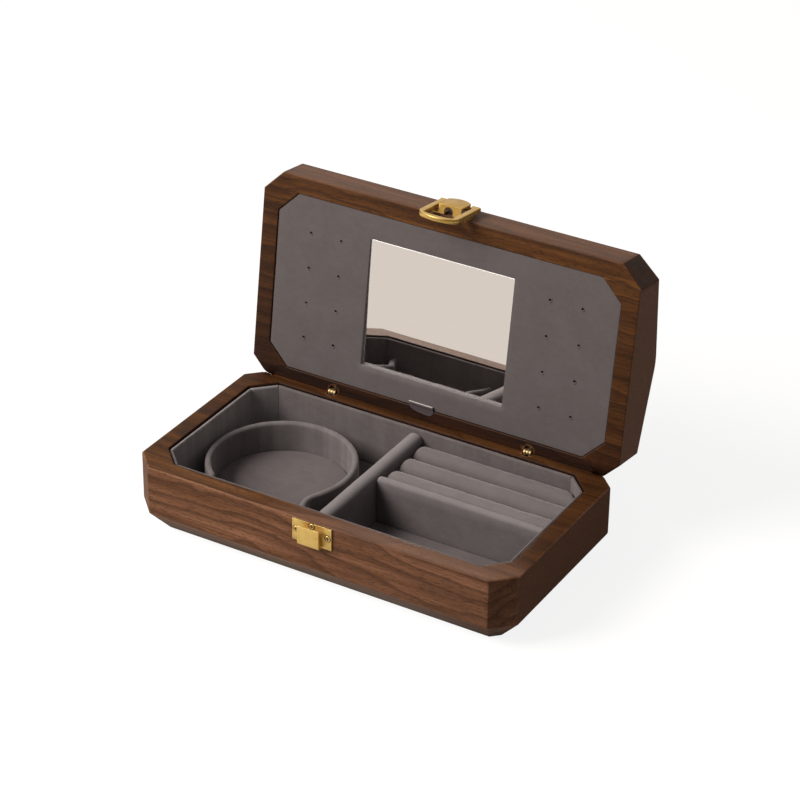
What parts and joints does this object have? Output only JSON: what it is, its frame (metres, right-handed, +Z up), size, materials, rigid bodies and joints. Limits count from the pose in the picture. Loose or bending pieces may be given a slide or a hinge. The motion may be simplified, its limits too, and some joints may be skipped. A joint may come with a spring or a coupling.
{
  "type": "travel jewelry box",
  "caption": "Open walnut travel jewelry box with cut corners, velvet compartments, ring rolls, a bangle ring, a mirrored lid on barrel hinges and a brass loop latch.",
  "frame": {"origin": "middle of the base's flat bottom face, on the surface that the box stands on", "axes": "+X along the box to its right seen from the front, +Y from the front with its latch to the back with its hinges, +Z up"},
  "size_m": [0.2, 0.1421, 0.1458],
  "materials": {
    "walnut": "satin oiled walnut, grain along the box's length",
    "velvet": "short-pile taupe grey velvet",
    "brass": "satin plated brass",
    "mirror": "clear silvered mirror",
    "card": "matt dark card",
    "ribbon": "woven ribbon"
  },
  "bodies": {
    "base": {"base_shell": "walnut", "floor_board": "velvet", "lining_front": "velvet", "lining_front_right": "velvet", "lining_right": "velvet", "lining_back_right": "velvet", "lining_back": "velvet", "lining_back_left": "velvet", "lining_left": "velvet", "lining_front_left": "velvet", "centre_divider": "velvet", "cross_divider": "velvet", "ring_roll_1": "velvet", "ring_roll_2": "velvet", "ring_roll_3": "velvet", "bangle_ring": "velvet", "bangle_pad": "velvet", "keeper_plate": "brass", "keeper_screw_left": "brass", "keeper_screw_top": "brass", "keeper_screw_right": "brass", "hinge_left_base_barrel": "brass", "hinge_left_pin": "brass", "hinge_right_base_barrel": "brass", "hinge_right_pin": "brass"},
    "lid": {"lid_shell": "walnut", "earring_panel": "velvet", "mirror": "mirror", "mirror_backing": "card", "pull_tab": "ribbon", "latch_bracket": "brass", "latch_pin": "brass", "hinge_left_lid_barrel": "brass", "hinge_right_lid_barrel": "brass", "latch_screw_left": "brass", "latch_screw_right": "brass"},
    "loop": {"latch_loop": "brass"}
  },
  "joints": [
    {"name": "lid_hinge", "type": "hinge", "parent": "base", "child": "lid", "pos_m": [0, 0.05, 0.03745], "axis": [1, 0, 0], "range_deg": [0, 98]},
    {"name": "latch_swing", "type": "hinge", "parent": "lid", "child": "loop", "pos_m": [0, 0.07489, 0.14089], "axis": [-1, 0, 0], "range_deg": [0, 120]}
  ]
}
